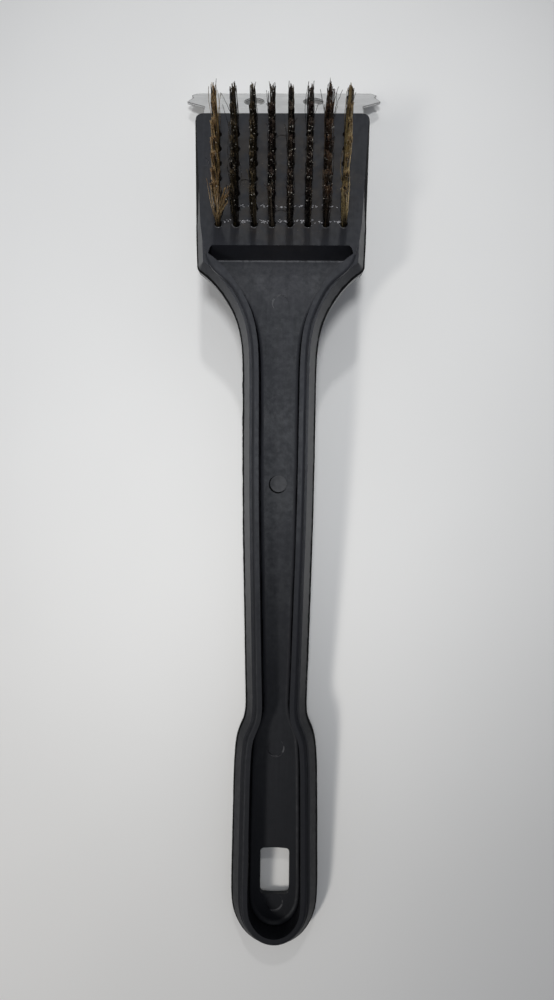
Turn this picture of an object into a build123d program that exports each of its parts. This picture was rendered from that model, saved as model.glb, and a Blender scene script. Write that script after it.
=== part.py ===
from build123d import *
import os
from math import sin, cos, tan, radians

# Grill cleaning brush: a one-piece moulded handle and head, 56 wire tufts held by
# metal anchors, and a bent sheet scraper screwed under the nose of the head.
# The brush lies on its back as on a table: +Z up (bristle side), +Y towards the
# scraper, X across. All sizes in millimetres, angles in degrees.
# s runs along the handle from the grip's end, u along the bristle face from the knee.

os.makedirs("parts", exist_ok=True)

# ---------------------------------------------------------------- driving sizes
Y_GRIP_END = -201.241     # rim plane meets this Y at the grip's end
Z_GRIP_END = 14.594       # height of the rim plane there
HANDLE_RISE = 6.5         # the handle climbs from grip to head
HEAD_FALL = 5.0           # the bristle face falls from knee to nose
KNEE_S = 293.0            # length of the handle from grip end to the knee
HEAD_LENGTH = 71.0        # knee to nose
BODY_DEPTH = 15.0         # rim to back, handle
HEAD_DEPTH = 14.5         # bristle face to back, head
FIT_GAP = 0.02            # clearance round the metal pieces set into the body

# Tufts and the flat wire anchor in each hole
COLUMNS, ROWS = 8, 7
FIRST_ROW_U = 15.2
ROW_PITCH = 7.45
PITCH_FIRST, PITCH_LAST = 7.72, 8.14          # column pitch at first and last row
TUFT_HOLE_R, TUFT_HOLE_DEPTH = 1.6, 9.0
TUFT_R, TUFT_FLARE = 1.53, 0.7                # radius in the hole, flare angle above it
TUFT_FREE = 26.0                              # free length above the bristle face
TUFT_END_GAP = 0.1                            # below the tuft, in its hole
ANCHOR_W, ANCHOR_T, ANCHOR_H = 4.6, 0.5, 2.0
ANCHOR_BASE = -TUFT_HOLE_DEPTH + 0.9          # from the bristle face
SLIT_W, SLIT_T, SLIT_H = (size + 2 * FIT_GAP for size in (ANCHOR_W, ANCHOR_T, ANCHOR_H))
SLIT_BASE = ANCHOR_BASE - FIT_GAP

# Scraper and screws
SHEET_T = 1.0
BLADE_FALL = 34.0         # below horizontal
FLANGE_L, FLANGE_HALF_W = 13.0, 30.0
SCREW_U, SCREW_X = 65.2, 20.0
SCREW_SPOTS = [(SCREW_X, SCREW_U), (-SCREW_X, SCREW_U)]
SCREW_R, SCREW_LEN = 1.75, 8.0
SCREW_HEAD_R, SCREW_HEAD_H = 3.5, 2.2


# ---------------------------------------------------------------- planes
def normal_at_fall(fall):
    """Upward normal of a plane that falls towards +Y by an angle."""
    return Vector(0, sin(radians(fall)), cos(radians(fall)))


rim_plane = Plane(
    origin=(0, Y_GRIP_END, Z_GRIP_END), x_dir=(1, 0, 0), z_dir=normal_at_fall(-HANDLE_RISE)
)
face_plane = Plane(
    origin=rim_plane.from_local_coords((0, KNEE_S, 0)),
    x_dir=(1, 0, 0),
    z_dir=normal_at_fall(HEAD_FALL),
)
RIM_UP = Axis((0, 0, 0), normal_at_fall(-HANDLE_RISE))


def side(plane, along, up):
    """(y, z) of a point in a plane's own length and height, on the centre line."""
    point = plane.from_local_coords((0, along, up))
    return (point.Y, point.Z)


NOSE_Y = side(face_plane, HEAD_LENGTH, 0)[0]


def save(part, name):
    part.label = name
    export_step(part, f"parts/{name}.step")


# ---------------------------------------------------------------- plan outline
GRIP_HALF_W, GRIP_ROUND_L = 18.1, 22.0        # half ellipse at the grip's end
# Half widths along the handle, (x, s), at the widest line
RIGHT_OUTLINE = [
    (GRIP_HALF_W * sin(radians(t)), GRIP_ROUND_L * (1 - cos(radians(t))))
    for t in (0, 15, 30, 45, 60, 75)
] + [
    # grip
    (GRIP_HALF_W, GRIP_ROUND_L), (18.15, 34.0), (18.0, 50.0), (17.75, 68.0), (17.5, 79.0),
    # throat
    (17.0, 85.2), (15.6, 91.6), (13.7, 96.0), (13.0, 100.5), (13.1, 109.0),
    # neck
    (13.65, 127.0), (14.35, 152.0), (15.1, 180.0), (15.5, 205.0), (15.7, 230.0),
    # funnel
    (15.95, 247.0), (16.75, 258.0), (18.95, 267.0), (23.2, 275.5), (29.2, 283.3), (36.3, 289.2),
]
HEAD_CORNER = RIGHT_OUTLINE[-1]
HEAD_NOSE = (39.6, 372.0)                     # beyond the nose, which the profile trims
HEAD_CORNER_R = 3.4


def both_sides(points):
    """Mirrors right-half points about the centre line, as one run from left to right."""
    return [(-x, s) for x, s in reversed(points[1:])] + points


def inset_points(inset, tip_s, tip_length, steps=40):
    """Right half outline moved inwards, closed at the grip's end by half an ellipse."""
    edge = Spline(both_sides(RIGHT_OUTLINE), mode=Mode.PRIVATE)
    half_w = GRIP_HALF_W - inset
    start = tip_s + tip_length
    points = [
        (half_w * sin(radians(t)), start - tip_length * cos(radians(t)))
        for t in (0, 18, 36, 54, 72)
    ]
    points.append((half_w, start))
    for i in range(steps + 1):
        at = 0.5 + 0.5 * i / steps            # 0.5 is the grip's tip
        point, tangent = edge @ at, edge % at
        if point.Y > start + 6:
            points.append((point.X - inset * tangent.Y, point.Y + inset * tangent.X))
    return points


# ---------------------------------------------------------------- rim bead
BEAD_INSET = 4.1          # outline to the bead's outer foot
BEAD_TIP_S, BEAD_TIP_L = 3.4, 16.4
BEAD_FOLLOWS_TO_S = 284.0                     # the bead leaves the outline here
BEAD_SHOULDERS = [(30.0, 288.6), (32.2, 293.6), (32.6, 300.0)]    # (x, s)
BEAD_END_S = 312.0
BEAD_H, BEAD_R = 3.0, 1.25


def rim_bead():
    """Raised plateau that the pocket turns into a bead."""
    outline = [
        p for p in inset_points(BEAD_INSET, BEAD_TIP_S, BEAD_TIP_L) if p[1] < BEAD_FOLLOWS_TO_S
    ] + BEAD_SHOULDERS
    x, s = BEAD_SHOULDERS[-1]
    with BuildPart() as bead:
        with BuildSketch(rim_plane.offset(-BEAD_H)):
            with BuildLine():
                Spline(both_sides(outline))
                Polyline((x, s), (x, BEAD_END_S), (-x, BEAD_END_S), (-x, s))
            make_face()
        extrude(amount=BEAD_H)
        top = bead.faces().sort_by(RIM_UP)[-1]
        # all but the end towards the nose
        fillet(top.edges().sort_by(Axis.Y)[:-1], radius=BEAD_R)
    return bead.part


# ---------------------------------------------------------------- pocket
POCKET_INSET = 7.1        # outline to the pocket's edge
POCKET_TIP_S, POCKET_TIP_L = 6.2, 13.0
POCKET_FOLLOWS_TO_S = 292.0
POCKET_SHOULDER = (31.0, 294.2)               # (x, s)
POCKET_CORNER, POCKET_CORNER_R = (30.0, 298.35), 2.8
POCKET_DEPTH, POCKET_FLOOR_R = 12.0, 1.9
POCKET_OVER = 0.6         # the cutter stands above the rim by this
# (s, height) section that slopes the pocket's end wall
END_WALL = [
    (298.5, 1), (294.7, -POCKET_DEPTH - 2), (306, -POCKET_DEPTH - 2), (306, 1)
]


def pocket_core():
    outline = [
        p for p in inset_points(POCKET_INSET, POCKET_TIP_S, POCKET_TIP_L)
        if p[1] < POCKET_FOLLOWS_TO_S
    ] + [POCKET_SHOULDER]
    shoulder_x, shoulder_s = POCKET_SHOULDER
    corner_x, corner_s = POCKET_CORNER
    with BuildPart() as core:
        with BuildSketch(rim_plane.offset(POCKET_OVER)) as plan:
            with BuildLine():
                Spline(both_sides(outline))
                Polyline(
                    POCKET_SHOULDER, POCKET_CORNER, (-corner_x, corner_s), (-shoulder_x, shoulder_s)
                )
            make_face()
            fillet([v for v in plan.vertices() if v.Y > 298], radius=POCKET_CORNER_R)
        extrude(amount=-(POCKET_DEPTH + POCKET_OVER))
        with BuildSketch(Plane.YZ):
            with BuildLine():
                Polyline(*[side(rim_plane, s, up) for s, up in END_WALL], close=True)
            make_face()
        extrude(amount=60, both=True, mode=Mode.SUBTRACT)
        floor = core.faces().sort_by(RIM_UP)[0]
        fillet(floor.edges().sort_by(SortBy.LENGTH)[-1], radius=POCKET_FLOOR_R)
    return core.part


# ---------------------------------------------------------------- brush body, outside
SHOULDER_DROP = 1.4       # the raised bead stands this far above the shoulder
FLANK_IN, FLANK_DOWN = 3.1, 6.2   # drafted flank, from the shoulder to the parting line
BACK_R = 2.9              # rounding of the back's outer edge
BACK_KNEE_R = 60
NOSE_CORNER_R = 3.6
PLAN_BELOW = 20           # the plan solid starts this far below the back


def body_outside():
    """Handle and head with the rim bead, before anything is hollowed out."""
    back_knee = side(rim_plane, KNEE_S - 0.6, -BODY_DEPTH)
    (corner_x, corner_s), (nose_x, nose_s) = HEAD_CORNER, HEAD_NOSE
    with BuildPart() as body:
        # solid of the plan outline, up to the shoulder
        with BuildSketch(rim_plane.offset(-BODY_DEPTH - PLAN_BELOW)) as plan:
            with BuildLine():
                Spline(both_sides(RIGHT_OUTLINE))
                Polyline(HEAD_CORNER, HEAD_NOSE, (-nose_x, nose_s), (-corner_x, corner_s))
            make_face()
            fillet(plan.vertices().sort_by(Axis.Y)[:2], radius=HEAD_CORNER_R)
        extrude(amount=BODY_DEPTH + PLAN_BELOW - SHOULDER_DROP)

        # trimmed by the side profile: the back bends at the knee, the nose leans slightly
        with BuildSketch(Plane.YZ) as profile:
            with BuildLine():
                Polyline(
                    side(rim_plane, -5, -BODY_DEPTH),
                    back_knee,
                    side(face_plane, HEAD_LENGTH - 0.4, -HEAD_DEPTH),
                    side(face_plane, HEAD_LENGTH + 1.1, 40),
                    side(rim_plane, -5, 40),
                    close=True,
                )
            make_face()
            knee_vertex = profile.vertices().sort_by_distance((*back_knee, 0))[0]
            fillet(knee_vertex, radius=BACK_KNEE_R)
        extrude(amount=60, both=True, mode=Mode.INTERSECT)

        nose_corners = [
            e for e in body.edges()
            if e.center().Y > NOSE_Y - 4 and abs(e.center().X) > 38 and e.length > 12
        ]
        fillet(nose_corners, radius=NOSE_CORNER_R)
        shoulder = body.faces().sort_by(RIM_UP)[-1]
        chamfer(
            [e for e in shoulder.edges() if e.center().Y < NOSE_Y - 2],
            length=FLANK_IN, length2=FLANK_DOWN, reference=shoulder,
        )
        # outer edges of the back belong to one back face only
        back_faces = [f for f in body.faces() if f.normal_at().Z < -0.9]
        back_edges = [e for f in back_faces for e in f.edges()]
        back_rim = [
            e for e in back_edges
            if sum(e.is_same(other) for other in back_edges) == 1 and e.center().Y < NOSE_Y - 3
        ]
        fillet(back_rim, radius=BACK_R)
        add(rim_bead())
    return body.part


# ---------------------------------------------------------------- brush body, hollowed
# Points (x, u, height) on the plane of each head bevel, on the +X side
BEVEL_POINTS = [(33.75, 0, 0), (38.45, 66, 0), (35.95, 0, -4.6)]


def body_with_pocket():
    with BuildPart() as body:
        add(body_outside())
        # bristle face of the head
        with BuildSketch(face_plane):
            with Locations((0, 50)):
                Rectangle(140, 130)
        extrude(amount=40, mode=Mode.SUBTRACT)
        # bevels along the head's sides, fading out towards the nose
        for side_sign in (1, -1):
            start, end, below = [
                face_plane.from_local_coords((side_sign * x, u, up)) for x, u, up in BEVEL_POINTS
            ]
            normal = (end - start).cross(below - start)
            if normal.Z < 0:
                normal = -normal
            with BuildSketch(Plane(origin=start, x_dir=end - start, z_dir=normal)):
                with Locations((35, 0)):
                    Rectangle(90, 40)
            extrude(amount=12, mode=Mode.SUBTRACT)
        add(pocket_core(), mode=Mode.SUBTRACT)
    return body.part


# ---------------------------------------------------------------- brush body, finished
HOLE_W, HOLE_L, HOLE_R = 12.5, 20.0, 1.6      # hanging hole
HOLE_S = 29.0                                 # its centre
HOLE_BULGE = 0.5                              # rise of its arched ends
EJECTOR_R = 3.65
POCKET_MARK_STEP, FACE_MARK_SINK = 0.5, 0.3
PROUD_MARK = (0, 196.4)                                   # (x, s)
SUNK_MARKS = [(0, 81.5), (0, 276.3), (0, 15.6)]           # (x, s)
FACE_MARKS = [(-16.0, 33.5), (0, 18.6), (0, 56.2)]        # (x, u)
RECESS_GAP = 0.2          # round the scraper's flange
RECESS_PAST_NOSE = 10


def tuft_points(column):
    """(x, u) of the tufts of one column; columns fan out towards the nose."""
    points = []
    for row in range(ROWS):
        pitch = PITCH_FIRST + (PITCH_LAST - PITCH_FIRST) * row / (ROWS - 1)
        points.append(((column - (COLUMNS - 1) / 2) * pitch, FIRST_ROW_U + ROW_PITCH * row))
    return points


def brush_body():
    all_tufts = [point for column in range(COLUMNS) for point in tuft_points(column)]
    hole_x = HOLE_W / 2
    hole_start, hole_end = HOLE_S - HOLE_L / 2, HOLE_S + HOLE_L / 2
    low_s, high_s = hole_start + HOLE_BULGE, hole_end - HOLE_BULGE
    with BuildPart() as body:
        add(body_with_pocket())
        # hanging hole
        with BuildSketch(rim_plane.offset(-BODY_DEPTH - 2)) as hole_plan:
            with BuildLine():
                ThreePointArc((-hole_x, high_s), (0, hole_end), (hole_x, high_s))
                Line((hole_x, high_s), (hole_x, low_s))
                ThreePointArc((hole_x, low_s), (0, hole_start), (-hole_x, low_s))
                Line((-hole_x, low_s), (-hole_x, high_s))
            make_face()
            fillet(hole_plan.vertices(), radius=HOLE_R)
        extrude(amount=8, mode=Mode.SUBTRACT)

        # ejector-pin marks: one proud disc, the others just sunk
        with BuildSketch(rim_plane.offset(-POCKET_DEPTH - POCKET_MARK_STEP)):
            with Locations(PROUD_MARK):
                Circle(EJECTOR_R)
        extrude(amount=2 * POCKET_MARK_STEP)
        with BuildSketch(rim_plane.offset(-POCKET_DEPTH - POCKET_MARK_STEP)):
            with Locations(*SUNK_MARKS):
                Circle(EJECTOR_R)
        extrude(amount=4, mode=Mode.SUBTRACT)
        with BuildSketch(face_plane.offset(-FACE_MARK_SINK)):
            with Locations(*FACE_MARKS):
                Circle(EJECTOR_R)
        extrude(amount=4, mode=Mode.SUBTRACT)

        # tuft holes and the slits the anchors cut
        with BuildSketch(face_plane.offset(-TUFT_HOLE_DEPTH)):
            with Locations(*all_tufts):
                Circle(TUFT_HOLE_R)
        extrude(amount=TUFT_HOLE_DEPTH + 4, mode=Mode.SUBTRACT)
        with BuildSketch(face_plane.offset(SLIT_BASE)):
            with Locations(*all_tufts):
                Rectangle(SLIT_W, SLIT_T)
        extrude(amount=SLIT_H, mode=Mode.SUBTRACT)

        # recess under the nose for the scraper's flange, and its two screw holes
        with BuildSketch(face_plane.offset(-HEAD_DEPTH - 2)):
            with Locations((0, HEAD_LENGTH + (RECESS_PAST_NOSE - FLANGE_L) / 2)):
                Rectangle(
                    2 * (FLANGE_HALF_W + RECESS_GAP), FLANGE_L + RECESS_PAST_NOSE + 2 * RECESS_GAP
                )
        extrude(amount=2 + SHEET_T + FIT_GAP, mode=Mode.SUBTRACT)
        with BuildSketch(face_plane.offset(-HEAD_DEPTH)):
            with Locations(*SCREW_SPOTS):
                Circle(SCREW_R + FIT_GAP)
        extrude(amount=SCREW_LEN + 0.3, mode=Mode.SUBTRACT)
    return body.part


# ---------------------------------------------------------------- tufts and their anchors
def tuft_column(points):
    with BuildPart() as tufts:
        with BuildSketch(face_plane.offset(-TUFT_HOLE_DEPTH + TUFT_END_GAP)):
            with Locations(*points):
                Circle(TUFT_R)
        extrude(amount=TUFT_HOLE_DEPTH - TUFT_END_GAP)
        with BuildSketch(face_plane):
            with Locations(*points):
                Circle(TUFT_R)
        extrude(amount=TUFT_FREE, taper=-TUFT_FLARE)
        with BuildSketch(face_plane.offset(SLIT_BASE)):
            with Locations(*points):
                Rectangle(SLIT_W, SLIT_T)
        extrude(amount=SLIT_H, mode=Mode.SUBTRACT)
    return tufts.part


def anchor_column(points):
    with BuildPart() as anchors:
        with BuildSketch(face_plane.offset(ANCHOR_BASE)):
            with Locations(*points):
                Rectangle(ANCHOR_W, ANCHOR_T)
        extrude(amount=ANCHOR_H)
    return anchors.part


# ---------------------------------------------------------------- scraper
BEND_PAST_NOSE = 0.3
BEND_R_UNDER, BEND_R_OVER = 1.0, 2.0
# Half outline in the blade's plane, (x, distance up from the front edge)
BLADE_OUTLINE = [
    (0, 0), (44.2, 0), (46.8, 2.6), (45.7, 5.5), (48.4, 10.9), (39.2, 16.7), (38.9, 90.0),
    (0, 90.0),
]
EAR_CORNER_R = 0.7
BLADE_HOLE_R, BLADE_HOLE_X, BLADE_HOLE_UP = 4.85, 14.7, 10.5
FLANGE_CUT = 40           # square cutter beside the flange
FLANGE_CUT_END_U = HEAD_LENGTH - 0.2
SCREW_CLEARANCE = 0.15


def scraper_blade():
    bend = Vector(0, *side(face_plane, HEAD_LENGTH + BEND_PAST_NOSE, -HEAD_DEPTH))
    front_y = bend.Y + bend.Z / tan(radians(BLADE_FALL))      # front edge reaches Z = 0
    flange_end = Vector(0, *side(face_plane, HEAD_LENGTH - FLANGE_L, -HEAD_DEPTH))
    flange_up, blade_up = normal_at_fall(HEAD_FALL), normal_at_fall(BLADE_FALL)
    miter_length = SHEET_T / cos(radians(BLADE_FALL - HEAD_FALL) / 2)
    miter = (flange_up + blade_up).normalized() * miter_length
    under = [flange_end, bend, Vector(0, front_y, 0)]
    over = [under[0] + flange_up * SHEET_T, under[1] + miter, under[2] + blade_up * SHEET_T]
    blade_plane = Plane(origin=(0, front_y, 0), x_dir=(1, 0, 0), z_dir=blade_up)
    with BuildPart() as blade:
        # bent sheet, wider than the finished blade
        with BuildSketch(Plane.YZ) as section:
            with BuildLine():
                Polyline(*[(v.Y, v.Z) for v in under + over[::-1]], close=True)
            make_face()
            for corner, radius in ((under[1], BEND_R_UNDER), (over[1], BEND_R_OVER)):
                nearest = section.vertices().sort_by_distance((corner.Y, corner.Z, 0))[0]
                fillet(nearest, radius=radius)
        extrude(amount=55, both=True)

        # everything outside the blade's outline, and its two round holes
        with BuildSketch(blade_plane.offset(-6)) as trim:
            with Locations((0, -35)):
                Rectangle(140, 110)
            with BuildLine():
                Polyline(*[(x, -up) for x, up in BLADE_OUTLINE])
                mirror(about=Plane.YZ)
            make_face(mode=Mode.SUBTRACT)
            fillet([v for v in trim.vertices() if 43 < abs(v.X) < 49], radius=EAR_CORNER_R)
            with Locations((BLADE_HOLE_X, -BLADE_HOLE_UP), (-BLADE_HOLE_X, -BLADE_HOLE_UP)):
                Circle(BLADE_HOLE_R)
        extrude(amount=12, mode=Mode.SUBTRACT)

        # flange sides and screw holes
        cut_x = FLANGE_HALF_W + FLANGE_CUT / 2
        cut_u = FLANGE_CUT_END_U - FLANGE_CUT / 2
        with BuildSketch(face_plane.offset(-HEAD_DEPTH - 1)):
            with Locations((cut_x, cut_u), (-cut_x, cut_u)):
                Rectangle(FLANGE_CUT, FLANGE_CUT)
        extrude(amount=3, mode=Mode.SUBTRACT)
        with BuildSketch(face_plane.offset(-HEAD_DEPTH - 1)):
            with Locations(*SCREW_SPOTS):
                Circle(SCREW_R + SCREW_CLEARANCE)
        extrude(amount=3, mode=Mode.SUBTRACT)
    return blade.part


# ---------------------------------------------------------------- screws
SCREW_HEAD_EDGE_R = 1.1
CROSS_L, CROSS_W, CROSS_DEPTH = 4.2, 0.9, 1.3


def scraper_screws():
    with BuildPart() as screws:
        with BuildSketch(face_plane.offset(-HEAD_DEPTH - SCREW_HEAD_H)):
            with Locations(*SCREW_SPOTS):
                Circle(SCREW_HEAD_R)
        extrude(amount=SCREW_HEAD_H)
        head_faces = [f for f in screws.faces() if f.normal_at().Z < -0.9]
        fillet([e for f in head_faces for e in f.edges()], radius=SCREW_HEAD_EDGE_R)
        with BuildSketch(face_plane.offset(-HEAD_DEPTH)):
            with Locations(*SCREW_SPOTS):
                Circle(SCREW_R)
        extrude(amount=SCREW_LEN)
        with BuildSketch(face_plane.offset(-HEAD_DEPTH - SCREW_HEAD_H)):
            with Locations(*SCREW_SPOTS):
                Rectangle(CROSS_L, CROSS_W)
                Rectangle(CROSS_W, CROSS_L)
        extrude(amount=CROSS_DEPTH, mode=Mode.SUBTRACT)
    return screws.part


# ---------------------------------------------------------------- build and export
save(brush_body(), "brush_body")
for column in range(COLUMNS):
    save(tuft_column(tuft_points(column)), f"tuft_column_{column + 1}")
    save(anchor_column(tuft_points(column)), f"anchor_column_{column + 1}")
save(scraper_blade(), "scraper_blade")
save(scraper_screws(), "scraper_screws")
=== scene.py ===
import math

import bmesh
import bpy
import numpy as np
from mathutils import Matrix, Vector


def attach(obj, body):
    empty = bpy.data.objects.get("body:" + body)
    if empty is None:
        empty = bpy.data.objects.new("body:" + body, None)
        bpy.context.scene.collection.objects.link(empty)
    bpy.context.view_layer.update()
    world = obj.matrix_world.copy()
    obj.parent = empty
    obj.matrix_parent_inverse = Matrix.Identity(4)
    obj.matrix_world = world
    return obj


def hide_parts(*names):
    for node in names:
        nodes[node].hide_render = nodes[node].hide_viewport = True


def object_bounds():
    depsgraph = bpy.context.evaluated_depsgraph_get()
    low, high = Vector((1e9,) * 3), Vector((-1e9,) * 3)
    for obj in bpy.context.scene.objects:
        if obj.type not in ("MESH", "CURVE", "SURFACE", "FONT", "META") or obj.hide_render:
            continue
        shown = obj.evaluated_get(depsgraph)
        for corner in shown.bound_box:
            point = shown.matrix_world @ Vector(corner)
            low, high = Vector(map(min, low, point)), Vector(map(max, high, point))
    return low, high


MM = 0.001
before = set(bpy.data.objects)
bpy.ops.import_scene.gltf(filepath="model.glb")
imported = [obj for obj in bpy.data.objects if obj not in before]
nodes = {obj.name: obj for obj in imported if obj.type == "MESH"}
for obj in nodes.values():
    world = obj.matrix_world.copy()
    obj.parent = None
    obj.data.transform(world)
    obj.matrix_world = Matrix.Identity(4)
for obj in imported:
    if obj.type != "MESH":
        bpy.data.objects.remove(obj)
cad_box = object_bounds()
scene = bpy.context.scene


# ---------------------------------------------------------------- helpers

def link(ob):
    scene.collection.objects.link(ob)
    return ob


def points_of(name):
    me = nodes[name].data
    co = np.zeros(len(me.vertices) * 3)
    me.vertices.foreach_get("co", co)
    return co.reshape(-1, 3)


def tidy(me):
    """Turn every face of a piece's closed shells outwards, keeping its attributes."""
    bm = bmesh.new()
    bm.from_mesh(me)
    bmesh.ops.recalc_face_normals(bm, faces=bm.faces[:])
    bm.to_mesh(me)
    bm.free()
    me.update()
    return me


class Tree:
    """A material's node tree, built by calls that return sockets."""

    def __init__(self, name):
        self.mat = bpy.data.materials.new(name)
        self.mat.use_nodes = True
        self.nt = self.mat.node_tree
        self.nt.nodes.clear()
        self.out = self.nt.nodes.new("ShaderNodeOutputMaterial")
        self.bsdf = self.nt.nodes.new("ShaderNodeBsdfPrincipled")
        self.nt.links.new(self.bsdf.outputs[0], self.out.inputs[0])
        self.coord = self.nt.nodes.new("ShaderNodeTexCoord").outputs["Object"]

    def put(self, socket, value):
        if isinstance(value, bpy.types.NodeSocket):
            self.nt.links.new(value, socket)
        elif isinstance(value, (tuple, list)) and len(value) == 3 and socket.type == "RGBA":
            socket.default_value = (*value, 1.0)
        else:
            socket.default_value = value

    def set(self, name, value):
        self.put(self.bsdf.inputs[name], value)

    def stretch(self, scale, vector=None, turn=(0, 0, 0)):
        n = self.nt.nodes.new("ShaderNodeMapping")
        self.put(n.inputs["Vector"], self.coord if vector is None else vector)
        n.inputs["Scale"].default_value = scale
        n.inputs["Rotation"].default_value = turn
        return n.outputs[0]

    def noise(self, scale, detail=2.0, rough=0.5, vector=None, distort=0.0):
        n = self.nt.nodes.new("ShaderNodeTexNoise")
        self.put(n.inputs["Vector"], self.coord if vector is None else vector)
        n.inputs["Scale"].default_value = scale
        n.inputs["Detail"].default_value = detail
        n.inputs["Roughness"].default_value = rough
        n.inputs["Distortion"].default_value = distort
        return n.outputs["Fac"]

    def cells(self, scale, vector=None, feature="F1", random=1.0):
        n = self.nt.nodes.new("ShaderNodeTexVoronoi")
        n.feature = feature
        self.put(n.inputs["Vector"], self.coord if vector is None else vector)
        n.inputs["Scale"].default_value = scale
        n.inputs["Randomness"].default_value = random
        return n.outputs["Distance"]

    def ramp(self, value, low, high, to_low=0.0, to_high=1.0, smooth=True):
        n = self.nt.nodes.new("ShaderNodeMapRange")
        n.interpolation_type = "SMOOTHSTEP" if smooth else "LINEAR"
        self.put(n.inputs["Value"], value)
        self.put(n.inputs["From Min"], low)
        self.put(n.inputs["From Max"], high)
        self.put(n.inputs["To Min"], to_low)
        self.put(n.inputs["To Max"], to_high)
        return n.outputs[0]

    def math(self, kind, a, b=0.0, clamp=False):
        n = self.nt.nodes.new("ShaderNodeMath")
        n.operation = kind
        n.use_clamp = clamp
        self.put(n.inputs[0], a)
        self.put(n.inputs[1], b)
        return n.outputs[0]

    def mix(self, factor, a, b, kind="MIX"):
        n = self.nt.nodes.new("ShaderNodeMix")
        n.data_type = "RGBA"
        n.blend_type = kind
        self.put(n.inputs[0], factor)
        self.put(n.inputs[6], a)
        self.put(n.inputs[7], b)
        return n.outputs[2]

    def bump(self, height, distance, strength=1.0, under=None):
        n = self.nt.nodes.new("ShaderNodeBump")
        n.inputs["Strength"].default_value = strength
        n.inputs["Distance"].default_value = distance
        self.put(n.inputs["Height"], height)
        if under is not None:
            self.put(n.inputs["Normal"], under)
        return n.outputs[0]

    def attribute(self, name):
        n = self.nt.nodes.new("ShaderNodeAttribute")
        n.attribute_name = name
        return n.outputs["Fac"]

    def near(self, point, vector=None):
        """Distance of the shaded point from a point of the frame."""
        n = self.nt.nodes.new("ShaderNodeVectorMath")
        n.operation = "DISTANCE"
        self.put(n.inputs[0], self.coord if vector is None else vector)
        n.inputs[1].default_value = tuple(point)
        return n.outputs["Value"]

    def dot(self, axis, vector=None):
        """The shaded point's coordinate along an axis of the frame."""
        n = self.nt.nodes.new("ShaderNodeVectorMath")
        n.operation = "DOT_PRODUCT"
        self.put(n.inputs[0], self.coord if vector is None else vector)
        n.inputs[1].default_value = tuple(axis)
        return n.outputs["Value"]

    def normal_part(self, axis):
        """How far the surface's own normal points along an axis of the frame."""
        n = self.nt.nodes.new("ShaderNodeVectorMath")
        n.operation = "DOT_PRODUCT"
        g = self.nt.nodes.new("ShaderNodeNewGeometry")
        self.put(n.inputs[0], g.outputs["True Normal"])
        n.inputs[1].default_value = tuple(axis)
        return n.outputs["Value"]

    def edges(self, radius):
        """1 close to the sharp edges of a piece, 0 away from them."""
        g = self.nt.nodes.new("ShaderNodeNewGeometry")
        b = self.nt.nodes.new("ShaderNodeBevel")
        b.samples = 6
        b.inputs["Radius"].default_value = radius
        n = self.nt.nodes.new("ShaderNodeVectorMath")
        n.operation = "DOT_PRODUCT"
        self.put(n.inputs[0], g.outputs["True Normal"])
        self.put(n.inputs[1], b.outputs[0])
        return self.ramp(n.outputs["Value"], 0.992, 0.93)

    def facing(self, blend=0.5):
        n = self.nt.nodes.new("ShaderNodeLayerWeight")
        n.inputs["Blend"].default_value = blend
        return n.outputs["Facing"]


def dress(ob, mat):
    ob.data.materials.clear()
    ob.data.materials.append(mat)


# ------------------------------------------------ the handle's own frame

RISE = math.radians(6.5)                   # the handle's climb towards the head
up_h = np.array([0.0, -math.sin(RISE), math.cos(RISE)])
along_h = np.array([0.0, math.cos(RISE), math.sin(RISE)])
body_points = points_of("brush_body")
rim_level = (body_points[body_points[:, 1] < 0] @ up_h).max()
grip_end = (body_points @ along_h).min()


def on_handle(x, s, h=0.0):
    """A point at x across, s along the handle from the grip's end, h above the rim plane, in mm."""
    return np.array([x * MM, 0.0, 0.0]) + along_h * (grip_end + s * MM) + up_h * (rim_level + h * MM)


# -------------------------------------------------------------- materials

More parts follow.
